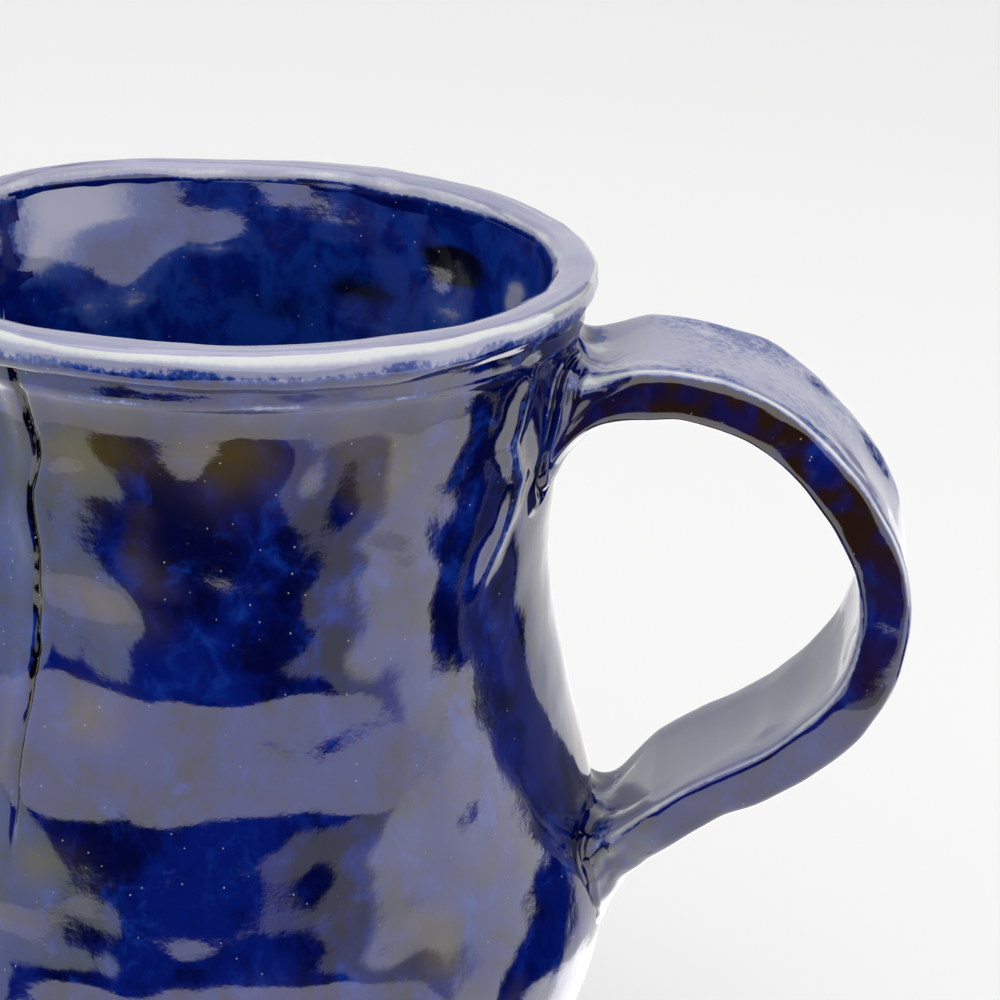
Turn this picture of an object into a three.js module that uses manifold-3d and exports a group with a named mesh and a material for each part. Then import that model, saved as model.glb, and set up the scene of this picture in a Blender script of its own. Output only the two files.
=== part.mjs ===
// A hand-built stoneware pitcher under a cobalt glaze, as the separate clay pieces a potter joins:
// base slab, body wall, rim coil, pouring spout, strap handle and the two worked joints of the handle.
//
// Millimetres. +Z is up and the origin is the centre of the flat underside. The handle stands out
// along +X and the spout pours towards -X. Neighbouring pieces keep a gap of GAP between them.

import * as THREE from "three";
import { mergeVertices } from "three/addons/utils/BufferGeometryUtils.js";
import Module from "manifold-3d";

// ---------------------------------------------------------------- driving dimensions

const HEIGHT = 148;
const GAP = 0.3;

const FOOT_RADIUS = 40;
const BELLY_RADIUS = 61;
const BELLY_LEVEL = 44;
const NECK_RADIUS = 49.4;
const NECK_LEVEL = 106;
const COLLAR_RADIUS = 53.2;
const WALL = 5.5;
const BASE_THICKNESS = 6.5;

const RIM_RADIUS = 55;
const RIM_THICKNESS = 6.6;
const RIM_HEIGHT = 5.8;
const RIM_CORNER = 2.4;

const SPOUT_HALF_ANGLE = THREE.MathUtils.degToRad(36);
const SPOUT_REACH = 13;
const SPOUT_LIFT = 3;
const SPOUT_DEPTH = 36;
const SPOUT_ROUNDNESS = 1.3;
const SPOUT_RISE = 1.4;

const STRAP_WIDTH = 31;
const STRAP_THICKNESS = 8.6;
const STRAP_CORNER = 2.6;
const STRAP_STEPS = 40;
const HANDLE_REACH = 101;
const JOINT_SPREAD = 5;
const JOINT_PROUD = 0.4;

const TURN_SEGMENTS = 48;
const WALL_STEPS = 18;
const VESSEL_STEPS = 24;
const SPOUT_STEPS = 8;
const CORNER_SEGMENTS = 4;

const WELD_DISTANCE = 1e-4;
const SHORTEST_EDGE = 1e-3;
const CURVE_TOLERANCE = 1e-6;

const BLUE_GLAZE = 0x1c2f86;
const DEEP_BLUE_GLAZE = 0x14206a;
const PALE_BLUE_GLAZE = 0x8d97c4;

// ---------------------------------------------------------------- levels and radii that follow

const RIM_BOTTOM = HEIGHT - RIM_HEIGHT;
const WALL_TOP = RIM_BOTTOM - GAP;
const WALL_BOTTOM = BASE_THICKNESS + GAP;
const SPOUT_BOTTOM = HEIGHT - SPOUT_DEPTH;
const MIDDLE_LEVEL = (BELLY_LEVEL + NECK_LEVEL) / 2;
const MIDDLE_RADIUS = (BELLY_RADIUS + NECK_RADIUS) / 2 - 0.8;

const wasm = await Module();
wasm.setup();

// ---------------------------------------------------------------- solids and their joins

/** Turns a closed geometry into a solid that can be cut and joined. */
function solidOf(geometry) {
  const bare = geometry.clone();
  bare.deleteAttribute("normal");
  bare.deleteAttribute("uv");
  const welded = mergeVertices(bare, WELD_DISTANCE);
  return new wasm.Manifold(new wasm.Mesh({
    numProp: 3,
    vertProperties: new Float32Array(welded.attributes.position.array),
    triVerts: new Uint32Array(welded.index.array),
  }));
}

/** Turns a cut solid back into a geometry. */
function geometryOf(solid) {
  const mesh = solid.getMesh();
  const geometry = new THREE.BufferGeometry();
  geometry.setAttribute("position", new THREE.BufferAttribute(new Float32Array(mesh.vertProperties), 3));
  geometry.setIndex(new THREE.BufferAttribute(new Uint32Array(mesh.triVerts), 1));
  geometry.computeVertexNormals();
  return geometry;
}

/** Moves every vertex of a geometry with a function that edits a point in place. */
function reshape(geometry, move) {
  const position = geometry.attributes.position;
  const point = new THREE.Vector3();
  for (let i = 0; i < position.count; i += 1) {
    point.fromBufferAttribute(position, i);
    move(point);
    position.setXYZ(i, point.x, point.y, point.z);
  }
  return geometry;
}

/** Spins a profile of (radius, height) points about Z, anticlockwise in the profile's plane. */
function spin(profile) {
  const geometry = new THREE.LatheGeometry(profile, TURN_SEGMENTS);
  geometry.rotateX(Math.PI / 2);
  return geometry;
}

/** A wedge of the given half angle about -X, standing on a level and taller than the pitcher. */
function spoutWedge(halfAngle, level) {
  const reach = 2 * RIM_RADIUS;
  const sector = new THREE.Shape();
  sector.moveTo(0, 0);
  sector.lineTo(-reach * Math.cos(halfAngle), reach * Math.sin(halfAngle));
  sector.lineTo(-reach * 1.5, 0);
  sector.lineTo(-reach * Math.cos(halfAngle), -reach * Math.sin(halfAngle));
  sector.closePath();
  const wedge = new THREE.ExtrudeGeometry(sector, { depth: HEIGHT, bevelEnabled: false });
  wedge.translate(0, 0, level);
  return solidOf(wedge);
}

function mesh(name, geometry, color, roughness) {
  const material = new THREE.MeshStandardMaterial({ color, roughness, metalness: 0 });
  const made = new THREE.Mesh(geometry, material);
  made.name = name;
  return made;
}

// ---------------------------------------------------------------- the vessel's outline

/** The outer outline from the foot to the collar under the rim, as (radius, height). */
const outline = new THREE.SplineCurve([
  new THREE.Vector2(FOOT_RADIUS, 0),
  new THREE.Vector2(FOOT_RADIUS + 11.5, BELLY_LEVEL * 0.37),
  new THREE.Vector2(BELLY_RADIUS - 2.3, BELLY_LEVEL * 0.67),
  new THREE.Vector2(BELLY_RADIUS, BELLY_LEVEL),
  new THREE.Vector2(BELLY_RADIUS - 1.9, BELLY_LEVEL + 14),
  new THREE.Vector2(MIDDLE_RADIUS, MIDDLE_LEVEL),
  new THREE.Vector2(NECK_RADIUS + 1, NECK_LEVEL - 14),
  new THREE.Vector2(NECK_RADIUS, NECK_LEVEL),
  new THREE.Vector2(COLLAR_RADIUS - 1.6, (NECK_LEVEL + HEIGHT) / 2),
  new THREE.Vector2(COLLAR_RADIUS, WALL_TOP),
]);

/** How far along the outline a height is reached, from 0 at the foot to 1 at the collar. */
function outlineShareAt(height) {
  let low = 0;
  let high = 1;
  while (high - low > CURVE_TOLERANCE) {
    const middle = (low + high) / 2;
    if (outline.getPoint(middle).y < height) {
      low = middle;
    } else {
      high = middle;
    }
  }
  return low;
}

/** Points on the outline between two heights, moved square to it by an offset (inwards is negative). */
function outlineBetween(from, to, offset, count) {
  const start = outlineShareAt(from);
  const end = outlineShareAt(to);
  const points = [];
  for (let i = 0; i <= count; i += 1) {
    const at = start + ((end - start) * i) / count;
    const point = outline.getPoint(at);
    const tangent = outline.getTangent(at);
    points.push(new THREE.Vector2(
      point.x + tangent.y * offset,
      THREE.MathUtils.clamp(point.y - tangent.x * offset, from, to),
    ));
  }
  return points;
}

/** A closed profile of the wall between two heights: up its outside and down its inside. */
function wallProfile(from, to, count) {
  const outside = outlineBetween(from, to, 0, count);
  const inside = outlineBetween(from, to, -WALL, count).reverse();
  inside[0].y = to;
  inside[count].y = from;
  return [...outside, ...inside, outside[0].clone()];
}

/** The whole inside of the outer surface up to the rim, grown by a gap, for fitting pieces to it. */
function filledVessel(gap) {
  const side = outlineBetween(1, WALL_TOP, gap, VESSEL_STEPS);
  return solidOf(spin([
    new THREE.Vector2(0, side[0].y),
    ...side,
    new THREE.Vector2(0, side[side.length - 1].y),
  ]));
}

// ---------------------------------------------------------------- base, wall and rim

function baseSlab() {
  const topRadius = outline.getPoint(outlineShareAt(BASE_THICKNESS)).x;
  const edgeRounding = 1.2;
  return spin([
    new THREE.Vector2(0, 0),
    new THREE.Vector2(FOOT_RADIUS - edgeRounding, 0),
    new THREE.Vector2(FOOT_RADIUS, edgeRounding * 0.6),
    new THREE.Vector2(topRadius, BASE_THICKNESS),
    new THREE.Vector2(0, BASE_THICKNESS),
  ]);
}

/** Half angle of the cut that leaves the gap beside a piece of the spout's own half angle. */
const CUT_HALF_ANGLE = SPOUT_HALF_ANGLE + GAP / NECK_RADIUS;

function bodyWall() {
  const ring = solidOf(spin(wallProfile(WALL_BOTTOM, WALL_TOP, WALL_STEPS)));
  return geometryOf(ring.subtract(spoutWedge(CUT_HALF_ANGLE, SPOUT_BOTTOM)));
}

/** The rim's section: a flattened roll of clay with round corners, closed on itself. */
function rimSection() {
  const roll = new THREE.Shape();
  const left = RIM_RADIUS - RIM_THICKNESS;
  const corner = RIM_CORNER;
  roll.moveTo(left + corner, RIM_BOTTOM);
  roll.lineTo(RIM_RADIUS - corner, RIM_BOTTOM);
  roll.absarc(RIM_RADIUS - corner, RIM_BOTTOM + corner, corner, -Math.PI / 2, 0);
  roll.absarc(RIM_RADIUS - corner, HEIGHT - corner, corner, 0, Math.PI / 2);
  roll.absarc(left + corner, HEIGHT - corner, corner, Math.PI / 2, Math.PI);
  roll.absarc(left + corner, RIM_BOTTOM + corner, corner, Math.PI, Math.PI * 1.5);
  const drawn = roll.getPoints(CORNER_SEGMENTS);
  const points = drawn.filter((point, i) => i === 0 || point.distanceTo(drawn[i - 1]) > SHORTEST_EDGE);
  points[points.length - 1].copy(points[0]);
  return points;
}

function rimCoil() {
  const ring = solidOf(spin(rimSection()));
  return geometryOf(ring.subtract(spoutWedge(CUT_HALF_ANGLE, SPOUT_BOTTOM)));
}

// ---------------------------------------------------------------- pouring spout

/** How far the lip is pulled at an angle from the spout's middle and a height, from 0 to 1. */
function pullAt(angle, height) {
  const across = Math.min(Math.abs(angle) / SPOUT_HALF_ANGLE, 1);
  const round = (1 + Math.cos(Math.PI * across)) / 2;
  const up = THREE.MathUtils.smoothstep(height, SPOUT_BOTTOM, HEIGHT);
  return round ** SPOUT_ROUNDNESS * up ** SPOUT_RISE;
}

/** The wall and rim in one, pulled out into a lip: the piece of clay that pours. */
function pouringSpout() {
  const start = SPOUT_BOTTOM + GAP;
  const rim = rimSection();
  const wall = wallProfile(start, RIM_BOTTOM - GAP, SPOUT_STEPS);
  const outside = wall.slice(0, SPOUT_STEPS + 1);
  const inside = wall.slice(SPOUT_STEPS + 1, 2 * (SPOUT_STEPS + 1));
  const rollTop = rim.filter((point) => point.y > RIM_BOTTOM + 1);
  const rimOutside = rollTop.filter((point) => point.x > RIM_RADIUS - RIM_CORNER);
  const rimInside = rollTop.filter((point) => point.x < RIM_RADIUS - RIM_THICKNESS + RIM_CORNER);
  const profile = [...outside, ...rimOutside, ...rimInside, ...inside, outside[0].clone()];
  const pulled = reshape(spin(profile), (point) => {
    const angle = Math.atan2(point.y, -point.x);
    const pull = pullAt(angle, point.z);
    const radius = Math.hypot(point.x, point.y);
    const scale = (radius + SPOUT_REACH * pull) / radius;
    point.x *= scale;
    point.y *= scale;
    point.z += SPOUT_LIFT * pull;
  });
  return geometryOf(solidOf(pulled).intersect(spoutWedge(SPOUT_HALF_ANGLE, start - GAP)));
}

// ---------------------------------------------------------------- handle

/** The middle line of the strap in the XZ plane, from the upper joint round to the lower one. */
const strapLine = new THREE.CatmullRomCurve3([
  new THREE.Vector3(58.5, 0, HEIGHT - 15.4),
  new THREE.Vector3(70, 0, HEIGHT - 15.4),
  new THREE.Vector3(81, 0, HEIGHT - 18.6),
  new THREE.Vector3(91.5, 0, HEIGHT - 27),
  new THREE.Vector3(99, 0, HEIGHT - 38.5),
  new THREE.Vector3(HANDLE_REACH, 0, HEIGHT - 50),
  new THREE.Vector3(97.5, 0, HEIGHT - 61.5),
  new THREE.Vector3(88, 0, HEIGHT - 71.5),
  new THREE.Vector3(76.5, 0, HEIGHT - 79),
  new THREE.Vector3(69, 0, HEIGHT - 84.5),
]);

/** The strap's section: a flat rectangle with round corners, its width along X. */
function strapSection() {
  const x = STRAP_WIDTH / 2;
  const y = STRAP_THICKNESS / 2;
  const corner = STRAP_CORNER;
  const section = new THREE.Shape();
  section.moveTo(-x + corner, -y);
  section.lineTo(x - corner, -y);
  section.absarc(x - corner, -y + corner, corner, -Math.PI / 2, 0);
  section.lineTo(x, y - corner);
  section.absarc(x - corner, y - corner, corner, 0, Math.PI / 2);
  section.lineTo(-x + corner, y);
  section.absarc(-x + corner, y - corner, corner, Math.PI / 2, Math.PI);
  section.lineTo(-x, -y + corner);
  section.absarc(-x + corner, -y + corner, corner, Math.PI, Math.PI * 1.5);
  return section;
}

function handleStrap() {
  return new THREE.ExtrudeGeometry(strapSection(), {
    steps: STRAP_STEPS,
    curveSegments: 3,
    bevelEnabled: false,
    extrudePath: strapLine,
  });
}

/** A flat-sided piece with a side outline in the XZ plane, centred on Y, with rounded edges. */
function sideExtrusion(points, width) {
  const rounding = 2;
  const side = new THREE.Shape(points.map(([x, z]) => new THREE.Vector2(x, z)));
  const piece = new THREE.ExtrudeGeometry(side, {
    depth: width - 2 * rounding,
    bevelThickness: rounding,
    bevelSize: rounding,
    bevelOffset: -rounding,
    bevelSegments: 2,
  });
  piece.translate(0, 0, -(width - 2 * rounding) / 2);
  piece.rotateX(Math.PI / 2);
  return piece;
}

/** The clay worked round the strap's upper end, from just under the rim down to a thumbed tongue. */
function handleUpperJoint() {
  const end = strapLine.getPoint(0);
  const face = end.x - GAP;
  const top = end.z + STRAP_THICKNESS / 2 + JOINT_PROUD;
  const insideWall = NECK_RADIUS - 2;
  const rise = 1.5;
  const heel = 2;
  const tongueReach = 3.2;
  const tongueDrop = 17;
  const rootDrop = 22;
  const piece = sideExtrusion([
    [insideWall, top + rise],
    [face, top],
    [face, end.z - STRAP_THICKNESS / 2 - heel],
    [NECK_RADIUS + tongueReach, end.z - tongueDrop],
    [insideWall, end.z - rootDrop],
  ], STRAP_WIDTH + JOINT_SPREAD);
  return geometryOf(solidOf(piece).subtract(filledVessel(GAP)));
}

/** The tail of the strap, pressed against the belly and smeared down it. */
function handleLowerJoint() {
  const end = strapLine.getPoint(1);
  const tangent = strapLine.getTangent(1);
  const across = new THREE.Vector3(-tangent.z, 0, tangent.x);
  const half = STRAP_THICKNESS / 2 + JOINT_PROUD;
  const start = end.clone().addScaledVector(tangent, GAP);
  const outer = start.clone().addScaledVector(across, half);
  const inner = start.clone().addScaledVector(across, -half);
  const insideWall = BELLY_RADIUS - 8;
  const root = inner.clone().addScaledVector(tangent, (inner.x - insideWall) / -tangent.x);
  const knuckleReach = 4;
  const knuckleDrop = 9;
  const tailReach = 1.5;
  const tail = BELLY_LEVEL - 5;
  const tailSlope = 3;
  const piece = sideExtrusion([
    [root.x, root.z],
    [inner.x, inner.z],
    [outer.x, outer.z],
    [BELLY_RADIUS + knuckleReach, outer.z - knuckleDrop],
    [BELLY_RADIUS + tailReach, tail],
    [insideWall, tail - tailSlope],
  ], STRAP_WIDTH + JOINT_SPREAD);
  const narrowing = 0.35;
  reshape(piece, (point) => {
    const down = THREE.MathUtils.smoothstep(outer.z - point.z, 0, outer.z - tail);
    point.y *= 1 - narrowing * down;
  });
  return geometryOf(solidOf(piece).subtract(filledVessel(GAP)));
}

// ---------------------------------------------------------------- the pitcher

const pitcher = new THREE.Group();

pitcher.add(
  mesh("base_slab", baseSlab(), DEEP_BLUE_GLAZE, 0.35),
  mesh("body_wall", bodyWall(), BLUE_GLAZE, 0.12),
  mesh("rim_coil", rimCoil(), PALE_BLUE_GLAZE, 0.15),
  mesh("pouring_spout", pouringSpout(), BLUE_GLAZE, 0.12),
  mesh("handle_strap", handleStrap(), BLUE_GLAZE, 0.14),
  mesh("handle_upper_joint", handleUpperJoint(), DEEP_BLUE_GLAZE, 0.14),
  mesh("handle_lower_joint", handleLowerJoint(), DEEP_BLUE_GLAZE, 0.14),
);

export default pitcher;
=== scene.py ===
import math

import bpy
import numpy as np
from mathutils import Matrix, Vector


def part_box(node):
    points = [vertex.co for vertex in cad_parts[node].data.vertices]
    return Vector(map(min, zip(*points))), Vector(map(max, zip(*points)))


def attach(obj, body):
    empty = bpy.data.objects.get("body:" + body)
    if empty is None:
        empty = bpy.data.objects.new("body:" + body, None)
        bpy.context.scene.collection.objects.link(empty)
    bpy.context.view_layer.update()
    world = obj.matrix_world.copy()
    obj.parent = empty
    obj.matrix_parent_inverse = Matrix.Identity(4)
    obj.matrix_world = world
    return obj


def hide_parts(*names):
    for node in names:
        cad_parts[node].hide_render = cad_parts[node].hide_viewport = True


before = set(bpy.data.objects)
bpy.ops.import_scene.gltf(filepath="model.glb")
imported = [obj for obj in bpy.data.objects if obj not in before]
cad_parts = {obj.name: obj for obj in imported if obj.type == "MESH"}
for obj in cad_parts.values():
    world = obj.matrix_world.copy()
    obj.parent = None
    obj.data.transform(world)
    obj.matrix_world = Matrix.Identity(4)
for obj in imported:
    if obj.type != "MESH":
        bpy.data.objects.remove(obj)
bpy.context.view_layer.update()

# A hand-built cobalt-glazed pitcher. Shapes are worked out in millimetres in the part's frame (+Z up, handle
# along +X, spout towards -X) and turned into metres when a mesh is made. Levels are heights above the foot.

MM = 0.001


def millimetres(node):
    """The lowest and the highest corner of a CAD node's box."""
    low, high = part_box(node)
    return np.array(low) / MM, np.array(high) / MM


_, BASE_HIGH = millimetres("base_slab")
_, WALL_HIGH = millimetres("body_wall")
_, RIM_HIGH = millimetres("rim_coil")
STRAP_LOW, STRAP_HIGH = millimetres("handle_strap")
SPOUT_LOW, _ = millimetres("pouring_spout")

HEIGHT = RIM_HIGH[2]
RIM_RADIUS = RIM_HIGH[0]
BELLY_RADIUS = WALL_HIGH[0]
BASE_TOP = BASE_HIGH[2]
SPOUT_BOTTOM = SPOUT_LOW[2]
STRAP_WIDTH = STRAP_HIGH[1] - STRAP_LOW[1]

FOOT_RADIUS = 40.0
WALL = 5.5
NECK_RADIUS = 49.4
NECK_LEVEL = 106.0
BELLY_LEVEL = 44.0
COLLAR_RADIUS = 53.2
COLLAR_LEVEL = WALL_HIGH[2]
WALL_TOP = HEIGHT - 3.6
RIM_THICKNESS = 6.6
RIM_HEIGHT = 6.0
STRAP_THICKNESS = 8.4
GLAZE_LINE = 3.2

SPOUT_HALF_ANGLE = math.radians(36)
SPOUT_REACH = 13.0
SPOUT_LIFT = 3.0

# Millimetres round the neck for a turn of one radian.
ARC = 50.0

# ------------------------------------------------------------------------------------- camera

# Where the camera stands from the rim's centre, and how it turns away from looking straight at it.
VIEW_AZIMUTH = math.radians(-80)
VIEW_ELEVATION = math.radians(15.8)
VIEW_DISTANCE = 0.45
AIM_YAW = math.radians(5.52)
AIM_PITCH = math.radians(20.24)
AIM_ROLL = math.radians(2.4)
LENS = 107.0
RIM_CENTRE = Vector((0, 0, (HEIGHT - RIM_HEIGHT / 2) * MM))


def direction(azimuth, elevation=0.0):
    """A unit vector at an azimuth about +Z, counted from +X, and an elevation above the level."""
    flat = math.cos(elevation)
    return Vector((flat * math.cos(azimuth), flat * math.sin(azimuth), math.sin(elevation)))


def make_camera():
    data = bpy.data.cameras.new("camera")
    data.lens = LENS
    data.clip_start = 0.01
    camera = bpy.data.objects.new("camera", data)
    bpy.context.scene.collection.objects.link(camera)
    place = RIM_CENTRE + VIEW_DISTANCE * direction(VIEW_AZIMUTH, VIEW_ELEVATION)
    ahead = direction(VIEW_AZIMUTH + math.pi - AIM_YAW, -AIM_PITCH)
    right = ahead.cross(Vector((0, 0, 1))).normalized()
    above = right.cross(ahead)
    side = right * math.cos(AIM_ROLL) + above * math.sin(AIM_ROLL)
    top = above * math.cos(AIM_ROLL) - right * math.sin(AIM_ROLL)
    turn = Matrix((side, top, -ahead)).transposed().to_4x4()
    camera.matrix_world = Matrix.Translation(place) @ turn
    bpy.context.scene.camera = camera


# ------------------------------------------------------------------------------------- noise

LATTICE = 256
SEED_STEP = 17.31
NOISE_GAIN = 1.6
shuffle = np.random.default_rng(7)
ORDER = np.tile(shuffle.permutation(LATTICE), 2)
GRADIENTS = shuffle.normal(size=(LATTICE, 3))
GRADIENTS /= np.linalg.norm(GRADIENTS, axis=1)[:, None]


def noise(points, size, seed=0):
    """Smooth gradient noise, about -1 to 1, of points in millimetres, with features of a size."""
    at = points / size + seed * SEED_STEP
    cell = np.floor(at).astype(int)
    part = at - cell
    ease = part**3 * (part * (part * 6 - 15) + 10)
    total = 0.0
    for corner in np.ndindex(2, 2, 2):
        corner = np.array(corner)
        key = (cell + corner) % LATTICE
        slot = ORDER[ORDER[ORDER[key[..., 0]] + key[..., 1]] + key[..., 2]]
        slope = (GRADIENTS[slot] * (part - corner)).sum(-1)
        weight = np.where(corner == 1, ease, 1 - ease).prod(-1)
        total = total + slope * weight
    return total * NOISE_GAIN


def smooth(value, low, high):
    """Eases from 0 at low to 1 at high."""
    t = np.clip((value - low) / (high - low), 0, 1)
    return t * t * (3 - 2 * t)


def bell(value, centre, width):
    """1 at the centre, falling away on both sides."""
    return np.exp(-(((value - centre) / width) ** 2))


def band(value, low, high, soft):
    """1 between low and high, with both ends eased over twice soft."""
    return smooth(value, low - soft, low + soft) * (1 - smooth(value, high - soft, high + soft))


def turn_between(angle, centre):
    """The signed angle from centre to angle, from -pi to pi."""
    return (angle - centre + math.pi) % (2 * math.pi) - math.pi


# ------------------------------------------------------------------------------------- the vessel

# The wall's outside, from the foot to the rim, as (radius, level).
OUTLINE = [
    (FOOT_RADIUS, 0),
    (FOOT_RADIUS + 11.5, BELLY_LEVEL * 0.37),
    (BELLY_RADIUS - 2.3, BELLY_LEVEL * 0.67),
    (BELLY_RADIUS, BELLY_LEVEL),
    (BELLY_RADIUS - 1.9, BELLY_LEVEL + 14),
    ((BELLY_RADIUS + NECK_RADIUS) / 2 - 0.8, (BELLY_LEVEL + NECK_LEVEL) / 2),
    (NECK_RADIUS + 1, NECK_LEVEL - 14),
    (NECK_RADIUS, NECK_LEVEL),
    (COLLAR_RADIUS - 1.6, (NECK_LEVEL + HEIGHT) / 2),
    (COLLAR_RADIUS, COLLAR_LEVEL),
    (COLLAR_RADIUS + 0.6, HEIGHT),
]

# The same wall down its front, where a hand has flattened the neck and pressed a waist above the belly.
FRONT_OUTLINE = [
    (59.1, 30),
    (60.7, 38),
    (60.2, 43),
    (58.8, 48.5),
    (57.4, 53.5),
    (56.9, 58),
    (56.5, 67),
    (56.0, 75),
    (55.1, 80),
    (52.4, 90),
    (50.9, 97.5),
    (50.6, 110),
    (50.4, 122),
    (50.6, 132),
    (51.7, 138.5),
    (COLLAR_RADIUS, COLLAR_LEVEL),
]


def catmull(points, count):
    """A smooth curve through points, as count samples for each stretch between two of them."""
    points = np.array(points, float)
    padded = np.vstack([2 * points[0] - points[1], points, 2 * points[-1] - points[-2]])
    t = np.linspace(0, 1, count, endpoint=False)[:, None]
    pieces = []
    for a, b, c, d in zip(padded, padded[1:], padded[2:], padded[3:]):
        cubic = (3 * b - a - 3 * c + d) * t**3 + (2 * a - 5 * b + 4 * c - d) * t**2
        pieces.append(0.5 * (2 * b + (c - a) * t + cubic))
    return np.vstack([*pieces, points[-1:]])


SIDE = catmull(OUTLINE, 40)
SIDE_SLOPE = np.gradient(SIDE[:, 0], SIDE[:, 1])
FRONT_SIDE = catmull(FRONT_OUTLINE, 40)

# Azimuths of the upright seam and of the middle of the flattened front.
SEAM = math.radians(-113.4)
FRONT = VIEW_AZIMUTH - math.radians(10)

# Places pressed into the outside: turn from the camera in degrees, level, half width, half height and depth.
PRESSES = [(-28, 101, 11, 14, 1.9), (17, 118, 7, 6, 0.5), (4, 60, 12, 6, 0.4)]

# A drip of glaze down the right of the neck: levels, and turns from the camera in degrees.
DRIP_LEVELS = [100, 106, 111, 115, 121.5, 128, 137, 142]
DRIP_TURNS = [46, 47, 49, 52, 54, 50, 53, 55]


def polar(radius, angle, level):
    """Points at a radius and an angle about the pitcher's axis, and a level."""
    return np.stack([radius * np.cos(angle), radius * np.sin(angle), level], -1)


def away_from_axis(angle):
    return polar(1.0, angle, 0 * angle)


def outline_radius(level):
    return np.interp(level, SIDE[:, 1], SIDE[:, 0])


def outline_slope(level):
    return np.interp(level, SIDE[:, 1], SIDE_SLOPE)


def spout_pull(angle, level):
    """How far the lip is pulled at an angle and a height, from 0 to 1."""
    across = np.minimum(np.abs(turn_between(angle, math.pi)) / SPOUT_HALF_ANGLE, 1)
    up = smooth(level, SPOUT_BOTTOM, HEIGHT)
    return ((1 + np.cos(math.pi * across)) / 2) ** 1.3 * up**1.4


def hand_marks(points, angle, level):
    """What the potter's hands leave in the wall, in millimetres square to it."""
    away = np.abs(turn_between(angle, FRONT))
    front = 1 - smooth(away, math.radians(28), math.radians(62))
    flattened = np.interp(level, FRONT_SIDE[:, 1], FRONT_SIDE[:, 0]) - outline_radius(level)
    flattened = flattened * (level > FRONT_SIDE[0, 1])
    calm = smooth(turn_between(angle, VIEW_AZIMUTH), math.radians(30), math.radians(46))
    torn = 0.55 * noise(points * [1, 1, 0.7], 10, 71) * bell(level, 127, 8)
    dents = 0.5 * noise(points * [1, 1, 1.3], 42, 1) + 0.25 * noise(points * [1, 1, 1.6], 25, 3)
    for turn, height, wide, tall, deep in PRESSES:
        sideways = turn_between(angle, VIEW_AZIMUTH + math.radians(turn)) * ARC
        dents = dents - deep * bell(sideways, 0, wide) * bell(level, height, tall)
    ragged = 0.34 * noise(points * [0.8, 0.8, 1.5], 12, 2) + 0.36 * noise(points * [1.6, 1.6, 0.9], 14, 7)
    steady = (1 - 0.85 * calm) * (1 - 0.6 * bell(level, 85, 7))
    course = VIEW_AZIMUTH + np.radians(np.interp(level, DRIP_LEVELS, DRIP_TURNS))
    drip = 0.85 * bell(turn_between(angle, course) * ARC + 0.5 * noise(points, 4, 67), 0, 2.3)
    drip = drip * smooth(level, 100, 112)
    return front * (flattened + torn * (1 - calm)) + dents + ragged * steady + drip


def worked_surface(points):
    """The small unevenness of clay and glaze that every piece shares, in millimetres."""
    soft = 0.08 * noise(points * [1, 1, 1.2], 7, 4) + 0.022 * noise(points, 3.6, 5)
    return soft + 0.008 * noise(points, 1.9, 6)


def beside_seam(angle, level, points):
    """How far a point lies to the right of the seam, in millimetres."""
    wander = 0.014 * np.sin(level / 9.0) + 0.008 * np.sin(level / 4.1 + 1) + 0.025 * noise(points, 9, 8)
    return turn_between(angle, SEAM + wander) * (ARC + 2) + 0.25 * noise(points, 1.6, 75)


def seam_marks(angle, level, points):
    """The crease and step where the wall's slab meets itself."""
    off = beside_seam(angle, level, points)
    fade = smooth(level, 66, 84) * (1 - smooth(level, 141, 144))
    crease = -0.95 * bell(off, 0, 0.42) * (0.7 + 0.6 * noise(points, 6, 9))
    shoulder = 0.12 * bell(off, 1.9, 1.5) + 0.12 * bell(off, -2.2, 1.8)
    step = -0.5 * (1 - smooth(off, -6, 0.0)) * bell(off, 0, 14)
    return fade * (crease + shoulder + step)


def outline_point(angle, level):
    return polar(outline_radius(level), angle, level)


def wall_point(angle, level, inward=0.0, marks=1.0):
    """Points on the wall: its outline, the lip's pull and the marks in it, moved inward square to it."""
    radius = outline_radius(level)
    slope = outline_slope(level)
    bare = outline_point(angle, level)
    depth = hand_marks(bare, angle, level) * marks
    depth = depth * (1 - smooth(level, 134, 144)) * smooth(level, 0, 14)
    depth = depth + marks * (seam_marks(angle, level, bare) + worked_surface(bare))
    out = (depth - inward) / np.sqrt(1 + slope**2)
    pull = spout_pull(angle, level)
    radius = radius + out + SPOUT_REACH * pull
    return polar(radius, angle, level - out * slope + SPOUT_LIFT * pull)


# ------------------------------------------------------------------------------------- meshes


def grid_normals(grid, closed_u, closed_v):
    """Unit directions square to a grid of points, which may close on itself along u, v or both."""

    def along(axis, closed):
        if closed:
            return np.roll(grid, -1, axis) - np.roll(grid, 1, axis)
        return np.gradient(grid, axis=axis)

    normal = np.cross(along(0, closed_u), along(1, closed_v))
    return normal / np.maximum(np.linalg.norm(normal, axis=-1, keepdims=True), 1e-9)


def blur(values, rounds, closed_u, closed_v):
    """Smooths a grid of values by that many rounds with its nearest neighbours."""
    for _ in range(rounds):
        for axis, closed in ((0, closed_u), (1, closed_v)):
            before = np.roll(values, 1, axis)
            after = np.roll(values, -1, axis)
            if not closed:
                first = [slice(None)] * values.ndim
                last = [slice(None)] * values.ndim
                first[axis] = slice(0, 1)
                last[axis] = slice(-1, None)
                before[tuple(first)] = values[tuple(first)]
                after[tuple(last)] = values[tuple(last)]
            values = 0.5 * values + 0.25 * (before + after)
    return values


def crest(grid, normal, rounds, closed_u, closed_v):
    """How far the surface stands above its own blurred shape, in millimetres: edges are positive."""
    return ((grid - blur(grid, rounds, closed_u, closed_v)) * normal).sum(-1)


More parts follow.
